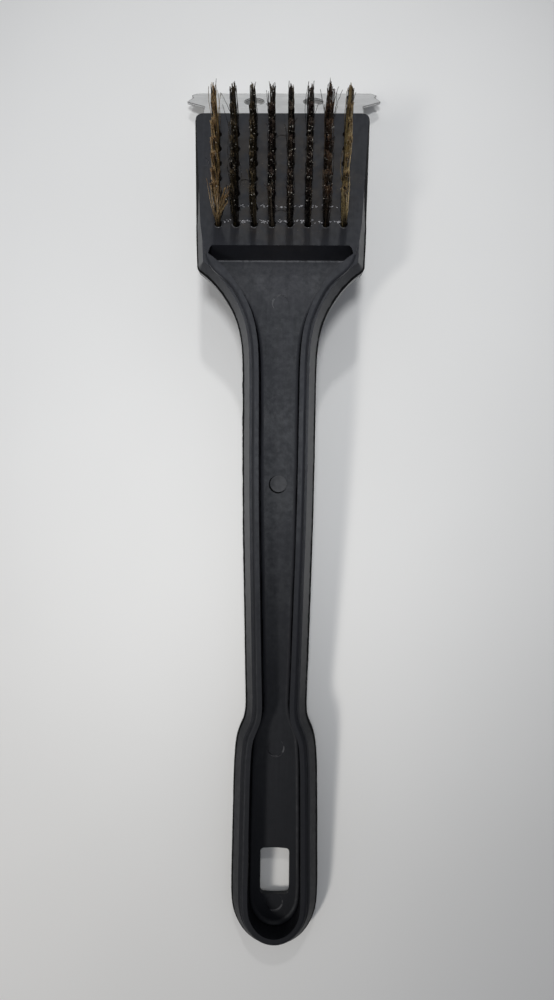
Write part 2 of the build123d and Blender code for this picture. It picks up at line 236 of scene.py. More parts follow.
def black_plastic(name, dark=(0.0058, 0.0064, 0.0090), light=(0.0120, 0.0127, 0.0170), rough=(0.50, 0.64), proud=(), sunk=(), brass_tint_and_grit_at=None, parting=None):
    """Moulded black polypropylene: satin skin with fine grain, flow streaks along the length, and light handling marks."""
    t = Tree(name)
    broad = t.noise(38.0, 3.0, 0.55)
    blotch = t.noise(420.0, 3.0, 0.6)
    streak = t.noise(60.0, 4.0, 0.6, vector=t.stretch((14.0, 0.7, 5.0)))
    grain = t.noise(5200.0, 2.0, 0.6)
    pebble = t.noise(1500.0, 3.0, 0.65)
    tone = t.math("ADD", t.math("MULTIPLY", broad, 0.55), t.math("MULTIPLY", streak, 0.45))
    tone = t.ramp(tone, 0.38, 0.62)
    colour = t.mix(tone, dark, light)
    # fine pale rubs, long and thin, in two directions
    rub_a = t.ramp(t.noise(240.0, 2.0, 0.5, vector=t.stretch((9.0, 0.35, 1.0), turn=(0, 0, 0.10))), 0.69, 0.75)
    rub_b = t.ramp(t.noise(200.0, 2.0, 0.5, vector=t.stretch((0.5, 8.0, 1.0), turn=(0, 0, 0.35))), 0.70, 0.77)
    rub = t.math("MULTIPLY", t.math("MAXIMUM", rub_a, rub_b), t.ramp(t.noise(55.0, 2.0), 0.45, 0.62))
    colour = t.mix(t.math("MULTIPLY", rub, 0.35), colour, (0.075, 0.077, 0.082))
    # dust caught here and there
    dust = t.ramp(t.cells(560.0), 0.10, 0.045)
    dust = t.math("MULTIPLY", dust, t.ramp(t.noise(130.0, 2.0), 0.60, 0.70))
    colour = t.mix(t.math("MULTIPLY", dust, 0.30), colour, (0.14, 0.14, 0.135))
    # wire dust rubbed into the face between the tufts, under a brown tint painted there as the reflection of the brass
    # wires
    if brass_tint_and_grit_at is not None:
        near = t.math("MULTIPLY", t.ramp(t.near(brass_tint_and_grit_at), 41 * MM, 20 * MM), t.ramp(t.noise(160.0, 3.0, 0.6), 0.30, 0.62))
        colour = t.mix(t.math("MULTIPLY", near, 0.80), colour, (0.0215, 0.0160, 0.0115))
        grit = t.math("MULTIPLY", t.ramp(t.cells(900.0), 0.16, 0.07), t.ramp(t.noise(260.0, 2.0), 0.50, 0.60))
        colour = t.mix(t.math("MULTIPLY", t.math("MULTIPLY", grit, near), 0.75), colour, (0.22, 0.17, 0.11))
    gloss = 0.37
    # ejector pins: a proud disc with a painted shadow at its foot, sunk discs with a painted highlight on the lip's lit
    # side
    for point in proud:
        inside = t.ramp(t.near(point), 3.75 * MM, 3.60 * MM)
        foot = t.ramp(t.near(point + np.array([-0.34, -0.30, 0.0]) * MM), 4.15 * MM, 3.80 * MM)
        foot = t.math("MULTIPLY", foot, t.math("SUBTRACT", 1.0, inside))
        colour = t.mix(t.math("MULTIPLY", inside, 0.75), colour, (0.0300, 0.0300, 0.0330))
        colour = t.mix(foot, colour, (0.0008, 0.0008, 0.0010))
        gloss = t.math("MULTIPLY", gloss, t.ramp(foot, 0.0, 1.0, 1.0, 0.1))
    for point in sunk:
        # painted highlight: a pale crescent on the side of each sunk disc's lip that faces the light
        lip = t.ramp(t.near(point), 3.85 * MM, 3.65 * MM)
        light_side = np.array([-0.50, 0.42, 0.0]) * (MM if point[1] < 0 else -MM)
        lip = t.math("MULTIPLY", lip, t.ramp(t.near(point + light_side), 3.62 * MM, 3.92 * MM))
        lip = t.math("MULTIPLY", lip, t.ramp(t.noise(420.0, 2.0), 0.36, 0.52))
        # the two painted highlights in the grip are drawn paler, because the painted shade towards the grip darkens
        # them below
        pale = (0.215, 0.215, 0.230) if point[1] < -0.05 else (0.105, 0.105, 0.112)
        colour = t.mix(t.math("MULTIPLY", lip, 0.85), colour, pale)
    # painted shade: darker and duller towards the grip; a patchy painted highlight on the floor where the pocket widens
    if parting is not None:
        run = t.dot(along_h)
        shade_to_grip = t.ramp(run, grip_end + 235 * MM, grip_end + 105 * MM)
        colour = t.mix(t.math("MULTIPLY", shade_to_grip, 0.62), colour, (0.0026, 0.0027, 0.0040))
        gloss = t.math("MULTIPLY", gloss, t.ramp(shade_to_grip, 0.0, 1.0, 1.0, 0.66))
        deep = t.math("MULTIPLY", t.ramp(t.dot(up_h), rim_level - 11.5 * MM, rim_level - 11.9 * MM), t.ramp(t.normal_part((0, 0, 1)), 0.90, 0.96))
        # painted highlight: a broad, patchy pale band on the pocket's floor near the wall under the head
        wide = t.math("MULTIPLY", t.ramp(run, POCKET_END - 28 * MM, POCKET_END - 8 * MM), t.ramp(run, POCKET_END - 0.2 * MM, POCKET_END - 3.5 * MM))
        highlight_patchiness = t.ramp(t.noise(620.0, 3.0, 0.7), 0.36, 0.62, 0.45, 1.0)
        colour = t.mix(t.math("MULTIPLY", t.math("MULTIPLY", wide, deep), t.math("MULTIPLY", highlight_patchiness, 0.36)), colour, (0.066, 0.066, 0.072))
        # painted highlight: a thin pale line on the floor along the foot of the wall under the head
        foot = t.math("MULTIPLY", t.ramp(run, POCKET_END - 0.85 * MM, POCKET_END - 0.60 * MM), t.ramp(run, POCKET_END + 0.50 * MM, POCKET_END + 0.20 * MM))
        foot = t.math("MULTIPLY", foot, t.ramp(t.noise(500.0, 2.0), 0.36, 0.54, 0.25, 0.75))
        colour = t.mix(t.math("MULTIPLY", foot, deep), colour, (0.092, 0.092, 0.099))
        # painted shade: the pocket's own side walls, which face each other, are painted near black and dulled
        side = t.math("MULTIPLY", t.dot((1, 0, 0)), t.normal_part((1, 0, 0)))
        inner = t.math("MULTIPLY", t.ramp(side, -0.0035, -0.0075), t.ramp(run, grip_end + 190 * MM, grip_end + 250 * MM, 0.35, 1.0))
        colour = t.mix(t.math("MULTIPLY", inner, 0.80), colour, (0.0015, 0.0015, 0.0020))
        gloss = t.math("MULTIPLY", gloss, t.ramp(inner, 0.0, 1.0, 1.0, 0.30))
    # painted shade along the trimmed parting edge: the steep skin just above it is painted near black and dulled
    if parting is not None:
        level = t.dot(up_h)
        wander = t.math("MULTIPLY", t.math("SUBTRACT", t.noise(330.0, 3.0, 0.6), 0.5), 1.5 * MM)
        painted_edge_shade = t.ramp(t.math("ADD", level, wander), parting + 1.55 * MM, parting + 0.95 * MM)
        slope = t.normal_part((0, 0, 1))
        painted_edge_shade = t.math("MULTIPLY", painted_edge_shade, t.math("MULTIPLY", t.ramp(slope, 0.62, 0.52), t.ramp(slope, 0.20, 0.30)))
        colour = t.mix(painted_edge_shade, colour, (0.0012, 0.0012, 0.0014))
        gloss = t.math("MULTIPLY", gloss, t.ramp(painted_edge_shade, 0.0, 1.0, 1.0, 0.12))
    t.set("Base Color", colour)
    r = t.ramp(t.math("ADD", t.math("MULTIPLY", blotch, 0.5), t.math("MULTIPLY", broad, 0.5)), 0.35, 0.65, rough[0], rough[1])
    t.set("Roughness", t.math("ADD", r, t.math("MULTIPLY", rub, 0.12), clamp=True))
    t.set("Specular IOR Level", gloss)
    t.set("Specular Tint", (0.92, 0.95, 1.0))
    # a thin bloom that shows where the skin is seen at a slant
    bloom = t.ramp(t.facing(0.5), 0.34, 0.60, 0.0, 0.85)
    bloom = t.math("MULTIPLY", bloom, t.ramp(t.dot(along_h), grip_end + 85 * MM, grip_end + 175 * MM, 0.10, 1.0))
    if parting is not None:
        bloom = t.math("MULTIPLY", bloom, t.math("SUBTRACT", 1.0, t.math("MAXIMUM", painted_edge_shade, inner)))
    t.set("Coat Weight", bloom)
    t.set("Coat Roughness", 0.38)
    n = t.bump(pebble, 0.000035, 0.55)
    n = t.bump(grain, 0.000012, 0.55, under=n)
    n = t.bump(rub, 0.00002, 0.4, under=n)
    t.set("Normal", n)
    return t.mat


def stainless(name):
    """Satin rolled stainless sheet: fine lines across the blade, soft smudges, and a dark line painted along its sharp
    edges, for their burr and for the shade at them.
    """
    t = Tree(name)
    line = t.noise(900.0, 4.0, 0.65, vector=t.stretch((0.05, 2.2, 2.2)))
    fine = t.noise(2600.0, 3.0, 0.6, vector=t.stretch((0.04, 1.6, 1.6)))
    smudge = t.noise(70.0, 3.0, 0.55)
    speck = t.ramp(t.noise(1900.0, 2.0, 0.6), 0.66, 0.74)
    colour = t.mix(t.ramp(smudge, 0.35, 0.65), (0.77, 0.77, 0.76), (0.88, 0.88, 0.87))
    colour = t.mix(t.math("MULTIPLY", t.ramp(line, 0.35, 0.65), 0.35), colour, (0.60, 0.60, 0.595))
    colour = t.mix(t.math("MULTIPLY", speck, 0.35), colour, (0.30, 0.29, 0.27))
    # painted shade and burr: the sharp edges are painted dark
    colour = t.mix(t.math("MULTIPLY", t.edges(0.0009), 0.9), colour, (0.07, 0.068, 0.065))
    t.set("Base Color", colour)
    t.set("Metallic", 0.92)
    r = t.ramp(line, 0.30, 0.70, 0.36, 0.50)
    t.set("Roughness", t.math("ADD", r, t.math("MULTIPLY", t.ramp(smudge, 0.5, 0.75), 0.08)))
    n = t.bump(line, 0.00001, 0.5)
    n = t.bump(fine, 0.000006, 0.5, under=n)
    t.set("Normal", n)
    return t.mat


def turned_steel(name):
    """Plated screw steel: fine rings of tool marks, small dull patches."""
    t = Tree(name)
    ring = t.noise(3200.0, 2.0, 0.5)
    patch = t.noise(300.0, 3.0, 0.6)
    t.set("Base Color", t.mix(t.ramp(patch, 0.4, 0.62), (0.42, 0.42, 0.43), (0.60, 0.60, 0.60)))
    t.set("Metallic", 1.0)
    t.set("Roughness", t.ramp(patch, 0.3, 0.7, 0.26, 0.44))
    t.set("Normal", t.bump(ring, 0.000012, 0.6))
    return t.mat


def anchor_wire(name):
    """Flat zinc-grey staple wire."""
    t = Tree(name)
    line = t.noise(1400.0, 3.0, 0.6, vector=t.stretch((0.1, 2.0, 2.0)))
    t.set("Base Color", t.mix(t.ramp(line, 0.35, 0.65), (0.30, 0.30, 0.31), (0.48, 0.48, 0.48)))
    t.set("Metallic", 1.0)
    t.set("Roughness", t.ramp(line, 0.3, 0.7, 0.32, 0.5))
    t.set("Normal", t.bump(line, 0.00001, 0.5))
    return t.mat


def wire(name, root, body, tip, glint, shine=1.0, metal=0.85):
    """Bristle wire of one column. wire_along runs from root (0) to tip (1), wire_tone is each strand's own number."""
    t = Tree(name)
    along = t.attribute("wire_along")
    tone = t.attribute("wire_tone")
    patch = t.noise(700.0, 3.0, 0.6)
    # painted shade: a near-black root, partly oxide and partly the shade down among the tufts, and a tip painted darker
    # than the body to hold back the light the tips catch; the tip's reddish brown is the wire's own
    colour = t.mix(t.ramp(along, 0.05, 0.40), root, body)
    colour = t.mix(t.ramp(along, 0.62, 0.95), colour, tip)
    colour = t.mix(t.math("MULTIPLY", t.ramp(t.math("ADD", tone, t.math("MULTIPLY", patch, 0.6)), 1.06, 1.28), 0.60), colour, glint)
    dull = t.ramp(t.math("ADD", t.math("MULTIPLY", tone, 0.5), patch), 0.62, 0.86)
    colour = t.mix(t.math("MULTIPLY", dull, 0.45), colour, (0.030, 0.019, 0.012))
    colour = t.mix(t.ramp(tone, 0.36, 0.22), colour, (0.010, 0.008, 0.007))
    # painted glints: bright spots along the crimp, and the glint beads, painted pale and less metallic so they stay
    # bright
    spot = t.ramp(t.cells(1500.0), 0.20, 0.12)
    spot = t.math("MULTIPLY", spot, t.ramp(t.noise(900.0, 2.0, 0.6), 0.50, 0.58))
    spot = t.math("MULTIPLY", spot, t.ramp(along, 0.10, 0.25))
    spot = t.math("MULTIPLY", spot, shine, clamp=True)
    spot = t.math("MAXIMUM", spot, t.attribute("wire_glint_bead"))
    colour = t.mix(spot, colour, (0.95, 0.91, 0.82))
    t.set("Base Color", colour)
    rest = t.ramp(dull, 0.0, 1.0, metal, metal * 0.6)
    t.set("Metallic", t.math("MULTIPLY", rest, t.ramp(spot, 0.0, 1.0, 1.0, 0.25)))
    t.set("Roughness", t.ramp(patch, 0.3, 0.7, 0.20, 0.40))
    t.set("Normal", t.bump(t.noise(5200.0, 2.0, 0.6), 0.00002, 0.5))
    return t.mat


# ----------------------------------------------------- CAD nodes that stay

PARTING_DEPTH = 7.6 * MM                   # parting line below the rim plane
POCKET_END = grip_end + 295.2 * MM         # where the pocket's floor meets the wall under the head
tuft_field = np.mean([points_of(f"tuft_column_{i}").mean(0) for i in range(1, 9)], axis=0)
tuft_field[2] = body_points[body_points[:, 1] > 0.10][:, 2].max()
skin = black_plastic("moulded_black_plastic", proud=[on_handle(0.0, 196.4, -11.5)],
                     sunk=[on_handle(0.0, s, -12.2) for s in (15.6, 81.5, 276.3)],
                     brass_tint_and_grit_at=tuft_field, parting=rim_level - PARTING_DEPTH)
dress(nodes["brush_body"], skin)
dress(nodes["scraper_blade"], stainless("satin_stainless"))
dress(nodes["scraper_screws"], turned_steel("plated_screw_steel"))
staple = anchor_wire("staple_wire")
for i in range(1, 9):
    dress(nodes[f"anchor_column_{i}"], staple)
for name in ("brush_body", "scraper_blade", "scraper_screws"):
    for p in nodes[name].data.polygons:
        p.use_smooth = True
    m = nodes[name].modifiers.new("crisp", "EDGE_SPLIT")
    m.split_angle = math.radians(32)


# ----------------------------------------------------------- wire bristles

def tufts_in(name):
    """Each tuft of a column, from the head's far row to its near row, as the mean points of its low and high ends."""
    me = nodes[name].data
    bm = bmesh.new()
    bm.from_mesh(me)
    bmesh.ops.remove_doubles(bm, verts=bm.verts, dist=1e-6)
    seen, groups = set(), []
    for v in bm.verts:
        if v in seen:
            continue
        stack, group = [v], []
        seen.add(v)
        while stack:
            a = stack.pop()
            group.append(tuple(a.co))
            for e in a.link_edges:
                b = e.other_vert(a)
                if b not in seen:
                    seen.add(b)
                    stack.append(b)
        groups.append(np.array(group))
    bm.free()
    out = []
    for g in groups:
        c = g.mean(0)
        w, v = np.linalg.eigh(np.cov((g - c).T))
        axis = v[:, -1] * (1 if v[2, -1] > 0 else -1)
        h = (g - c) @ axis
        low = g[h < h.min() + 0.0004].mean(0)
        high = g[h > h.max() - 0.0004].mean(0)
        out.append((low, high))
    out.sort(key=lambda t: t[0][1])
    return out


FREE = 26 * MM          # bristle length that stands out of the head
WIRE_R = 0.135 * MM
SIDES = 4
STEPS = 15


def column_mesh(name, tufts, rng, style):
    """One column of tufts as crimped wires. style gives each tuft's count, lean, spread and how many strands stray."""
    verts, faces, along_all, tone_all, glint_all = [], [], [], [], []
    base = 0
    ring = np.array([(math.cos(a), math.sin(a)) for a in np.arange(SIDES) * 2 * math.pi / SIDES])
    for row, (low, high) in enumerate(tufts):
        axis = (high - low) / np.linalg.norm(high - low)
        side = np.array([1.0, 0.0, 0.0])
        fwd = np.cross(axis, side)
        fwd /= np.linalg.norm(fwd)
        side = np.cross(fwd, axis)
        s = style(row)
        root = high - axis * FREE
        for k in range(s["count"]):
            r = math.sqrt(rng.random()) * 1.16 * MM
            a = rng.random() * 2 * math.pi
            b = np.array([r * math.cos(a), r * math.sin(a)])
            stray = rng.random() < s["stray"]
            spread = s["spread"] * (3.2 if stray else 1.0)
            lean = np.array(s["lean"]) * MM * (0.55 + 0.9 * rng.random())
            if s["fan"] is not None and rng.random() < s["fan"][0]:
                lean = np.array([rng.uniform(*s["fan"][1]), rng.uniform(*s["fan"][2])]) * MM
            if k < len(s["loose"]):
                lean, spread = np.array(s["loose"][k]) * MM, 0.1
            tip = b * s["flare"] + lean + rng.normal(0, spread * MM, 2)
            length = FREE * (1.0 - abs(rng.normal(0, s["ragged"])))
            if rng.random() < 0.04:
                length *= 0.80 + 0.12 * rng.random()
            length = min(length, FREE * 0.999)
            bow = rng.normal(0, 0.35 * MM, 2) * (2.4 if stray else 1.0)
            wave = rng.uniform(0.05, 0.17) * MM
            pitch = rng.uniform(4.0, 6.5) * MM
            phase = rng.random() * 2 * math.pi
            turn = rng.random() * 2 * math.pi
            u = np.linspace(-1.6 * MM / FREE, length / FREE, STEPS)
            h = u * FREE
            f = np.clip(u, 0, 1)
            off = b[None, :] * (1 - f)[:, None] + tip[None, :] * (f ** 1.25)[:, None]
            off = off + bow[None, :] * (np.sin(math.pi * f))[:, None]
            w = wave * np.sin(2 * math.pi * h / pitch + phase) * np.clip(f * 3, 0.2, 1)
            off = off + w[:, None] * np.array([math.cos(turn), math.sin(turn)])[None, :]
            if stray and rng.random() < 0.5:
                hook = rng.normal(0, 1.0 * MM, 2)
                off = off + hook[None, :] * (np.clip((f - 0.7) / 0.3, 0, 1) ** 2)[:, None]
            # a strand that leans keeps its length, so its tip sits lower
            reach = np.linalg.norm(tip - b)
            drop = 1 - 0.5 * (reach / FREE) ** 2
            p = root[None, :] + axis[None, :] * (h * drop)[:, None] + side[None, :] * off[:, :1] + fwd[None, :] * off[:, 1:]
            d = np.gradient(p, axis=0)
            d /= np.linalg.norm(d, axis=1)[:, None]
            n1 = np.cross(d, fwd[None, :])
            n1 /= np.linalg.norm(n1, axis=1)[:, None]
            n2 = np.cross(d, n1)
            rad = WIRE_R * rng.uniform(0.80, 1.15) * (0.72 if stray or k < len(s["loose"]) else 1.0)
            v = p[:, None, :] + rad * (n1[:, None, :] * ring[None, :, :1] + n2[:, None, :] * ring[None, :, 1:])
            verts.append(v.reshape(-1, 3))
            i = np.arange(STEPS - 1)[:, None] * SIDES
            j = np.arange(SIDES)[None, :]
            jn = (j + 1) % SIDES
            q = np.stack([i + j, i + jn, i + SIDES + jn, i + SIDES + j], -1).reshape(-1, 4) + base
            faces.extend(q.tolist())
            top = base + (STEPS - 1) * SIDES
            faces.append([top + n for n in range(SIDES)])
            faces.append([base + n for n in reversed(range(SIDES))])
            along_all.append(np.repeat(f, SIDES))
            tone_all.append(np.full(STEPS * SIDES, rng.random()))
            glint_all.append(np.zeros(STEPS * SIDES))
            base += STEPS * SIDES
            if rng.random() < s["glint_beads"] * SPARK[row]:
                # painted glint: one small facetted bead on the strand, coloured bright where a cut end or kink would
                # catch the light
                at = int(STEPS - 1 - abs(rng.normal(0, 2.6)))
                at = min(max(at, 5), STEPS - 1)
                size = rng.uniform(0.16, 0.30) * MM
                c = p[at] - d[at] * size
                v = np.array([c + n1[at] * size, c + n2[at] * size, c - n1[at] * size, c - n2[at] * size, c + d[at] * size, c - d[at] * size])
                verts.append(v)
                for n in range(4):
                    faces.append([base + n, base + (n + 1) % 4, base + 4])
                    faces.append([base + (n + 1) % 4, base + n, base + 5])
                along_all.append(np.ones(6))
                tone_all.append(np.full(6, 0.5))
                glint_all.append(np.full(6, rng.uniform(0.75, 1.0)))
                base += 6
    me = bpy.data.meshes.new(name)
    me.from_pydata(np.concatenate(verts).tolist(), [], faces)
    me.polygons.foreach_set("use_smooth", [True] * len(me.polygons))
    for key, data in (("wire_along", along_all), ("wire_tone", tone_all), ("wire_glint_bead", glint_all)):
        at = me.attributes.new(key, "FLOAT", "POINT")
        at.data.foreach_set("value", np.concatenate(data).astype(np.float32))
    return tidy(me)


# root colours are partly painted shade and tip colours are painted darker than the body, as noted in the wire material
GOLD = ((0.07, 0.045, 0.018), (0.78, 0.535, 0.240), (0.26, 0.155, 0.065), (0.92, 0.66, 0.32), 0.35, 0.60)
YELLOW = ((0.07, 0.048, 0.018), (0.72, 0.535, 0.240), (0.27, 0.180, 0.078), (0.92, 0.72, 0.36), 0.35, 0.60)
OLIVE = ((0.014, 0.011, 0.007), (0.064, 0.050, 0.026), (0.058, 0.042, 0.020), (0.42, 0.33, 0.17), 0.9)
SMOKE = ((0.009, 0.008, 0.008), (0.022, 0.017, 0.016), (0.032, 0.018, 0.015), (0.34, 0.28, 0.20), 1.0)
RUST = ((0.013, 0.010, 0.007), (0.044, 0.029, 0.017), (0.070, 0.034, 0.017), (0.42, 0.29, 0.17), 0.7)
PALETTE = [GOLD, OLIVE, OLIVE, SMOKE, SMOKE, SMOKE, RUST, YELLOW]


# painted glint beads: how often a strand gets one, per column and per row
GLINT_BEADS = [0.08, 0.26, 0.40, 0.50, 0.50, 0.50, 0.32, 0.08]
SPARK = [0.6, 1.0, 1.2, 1.2, 1.1, 0.8, 0.35]          # bright beads on each row, as a share of its column's
REACH = [0.0, 0.2, 0.45, 0.75, 1.2, 1.9, 3.1]       # how far each row leans towards the nose, mm


def style_of(column):
    def style(row):
        s = dict(count=48, lean=(0.0, REACH[row]), spread=0.20, flare=0.84, stray=0.03, ragged=0.045, fan=None, loose=(), glint_beads=GLINT_BEADS[column - 1])
        if column == 1:
            s.update(count=44, spread=0.24, flare=0.76, lean=(0.15, REACH[row]))
            if row == 0:
                s.update(count=78, lean=(-0.35, 2.4), fan=(0.58, (0.2, 7.4), (-6.0, 2.2)), spread=0.42, stray=0.05)
            elif row == 1:
                s.update(lean=(-0.2, 1.2), fan=(0.25, (0.5, 3.4), (-2.0, 1.0)))
        elif column == 7:
            s.update(count=44, spread=0.50, stray=0.10, flare=1.10, lean=(-0.35, REACH[row]))
        elif column == 8:
            s.update(count=44, spread=0.28, flare=0.80, lean=(-0.6 if row < 3 else 0.15, REACH[row]))
            if row == 0:
                s.update(lean=(-1.3, 0.1), spread=0.55)
        elif column == 2:
            s.update(spread=0.26, stray=0.05)
        elif column == 4:
            s.update(spread=0.28, stray=0.04)
        if row == 6:
            s.update(count=40, ragged=0.075, stray=s["stray"] + 0.05, spread=s["spread"] * 1.35)
            s["loose"] = {1: ((3.6, 0.4), (0.6, 6.4)), 2: ((-4.4, 0.2), (-1.2, 6.2)), 4: ((-1.6, 6.0), (1.8, 5.0)), 5: ((0.4, 6.0),),
                          6: ((2.0, 4.5),), 7: ((-0.9, 6.4), (3.0, 3.4)), 8: ((-0.3, 6.6), (2.4, 2.0))}.get(column, ())
        elif row == 5:
            s["loose"] = {1: ((3.0, 1.0),), 2: ((-3.6, 1.6),), 6: ((3.4, 1.4),), 7: ((3.6, 1.0), (-3.2, 1.8))}.get(column, ())
        return s
    return style


for i in range(1, 9):
    node = f"tuft_column_{i}"
    me = column_mesh(f"bristles_{i}", tufts_in(node), np.random.default_rng(700 + i), style_of(i))
    ob = link(bpy.data.objects.new(f"bristles_{i}", me))
    dress(ob, wire(f"bristle_wire_{i}", *PALETTE[i - 1]))
    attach(ob, "root")
    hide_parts(node)


# ------------------------------------------------- torn lips of the holes

def lips_mesh(name, tufts_by_column, rng):
    """A low ragged lip of torn plastic round every tuft hole, with slivers between the holes of the two near rows; the
    slivers and the lips' whitened tops are painted glints.
    """
    verts, faces, pale = [], [], []
    seg = 26
    for column in tufts_by_column:
        for row, (low, high) in enumerate(column):
            axis = (high - low) / np.linalg.norm(high - low)
            side = np.array([1.0, 0.0, 0.0])
            fwd = np.cross(axis, side)
            fwd /= np.linalg.norm(fwd)
            root = high - axis * FREE
            rough = 1.0 if row < 2 else 0.55
            a = np.arange(seg) * 2 * math.pi / seg
            wob = 0.5 + 0.5 * np.sin(a * 3 + rng.random() * 6) * np.sin(a * 5 + rng.random() * 6)
            tall = (0.05 + rough * (0.16 * wob + 0.14 * rng.random(seg) ** 2)) * MM
            peak = (1.64 + 0.10 * rng.random(seg)) * MM
            foot = (1.86 + 0.16 * wob + 0.10 * rng.random(seg)) * MM
            ring = [(np.full(seg, 1.585 * MM), np.full(seg, -0.15 * MM)), (peak, tall), (foot, np.full(seg, -0.02 * MM))]
            base = len(verts)
            for r, h in ring:
                p = root + np.outer(r * np.cos(a), side) + np.outer(r * np.sin(a), fwd) + np.outer(h, axis)
                verts.extend(p.tolist())
            pale.extend([0.0] * seg + (rough * rng.random(seg) ** 2).tolist() + [0.0] * seg)
            for k in range(3):
                m = (k + 1) % 3
                for i in range(seg):
                    j = (i + 1) % seg
                    faces.append((base + k * seg + i, base + k * seg + j, base + m * seg + j, base + m * seg + i))
    for row in (0, 1):
        for c in range(len(tufts_by_column) - 1):
            (l0, h0), (l1, h1) = tufts_by_column[c][row], tufts_by_column[c + 1][row]
            axis = (h0 - l0) / np.linalg.norm(h0 - l0)
            side = np.array([1.0, 0.0, 0.0])
            fwd = np.cross(axis, side)
            ra, rb = h0 - axis * FREE, h1 - axis * FREE
            for k in range(int(rng.integers(7, 13)) if row == 0 else int(rng.integers(4, 8))):
                t = rng.uniform(0.22, 0.80)
                c0 = ra * (1 - t) + rb * t + fwd * rng.uniform(0.5, 2.1) * MM
                turn = rng.uniform(-0.7, 0.7)
                d = side * math.cos(turn) + fwd * math.sin(turn)
                e = np.cross(axis, d)
                long, wide, tall = rng.uniform(0.30, 0.90) * MM, rng.uniform(0.10, 0.22) * MM, rng.uniform(0.16, 0.50) * MM
                base = len(verts)
                low_pts = [c0 - d * long - axis * 0.03 * MM, c0 + e * wide - axis * 0.03 * MM, c0 + d * long - axis * 0.03 * MM, c0 - e * wide - axis * 0.03 * MM]
                top = [c0 - d * long * 0.4 + e * wide * 0.3 + axis * tall * rng.uniform(0.5, 1.0), c0 + d * long * rng.uniform(0.2, 0.7) + axis * tall]
                verts.extend([p.tolist() for p in low_pts + top])
                pale.extend([0.3, 0.6, 0.3, 0.6, 1.0, 1.0])
                b = base
                faces.extend([(b, b + 3, b + 4), (b, b + 4, b + 1), (b + 1, b + 4, b + 5), (b + 1, b + 5, b + 2), (b + 2, b + 5, b + 3), (b + 3, b + 5, b + 4), (b, b + 1, b + 2, b + 3)])
    me = bpy.data.meshes.new(name)
    me.from_pydata(verts, [], faces)
    at = me.attributes.new("torn_glint", "FLOAT", "POINT")
    at.data.foreach_set("value", np.array(pale, np.float32))
    return tidy(me)


def torn_plastic_glints(name):
    """Torn black plastic, whitened at its raised bits as painted glints."""
    t = Tree(name)
    torn_glint = t.attribute("torn_glint")
    grit = t.noise(2400.0, 3.0, 0.65)
    # painted glints: the raised torn bits are painted whitish
    white = t.ramp(t.math("ADD", torn_glint, t.math("MULTIPLY", grit, 0.5)), 0.55, 1.15)
    t.set("Base Color", t.mix(white, (0.016, 0.016, 0.019), (0.50, 0.50, 0.53)))
    t.set("Roughness", t.ramp(grit, 0.3, 0.7, 0.40, 0.62))
    t.set("Normal", t.bump(grit, 0.00004, 0.6))
    return t.mat


columns = [tufts_in(f"tuft_column_{i}") for i in range(1, 9)]
lips = link(bpy.data.objects.new("hole_lips", lips_mesh("hole_lips", columns, np.random.default_rng(41))))
dress(lips, torn_plastic_glints("torn_plastic_glints"))
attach(lips, "root")


# ------------------------------------------------------ parting-line flash

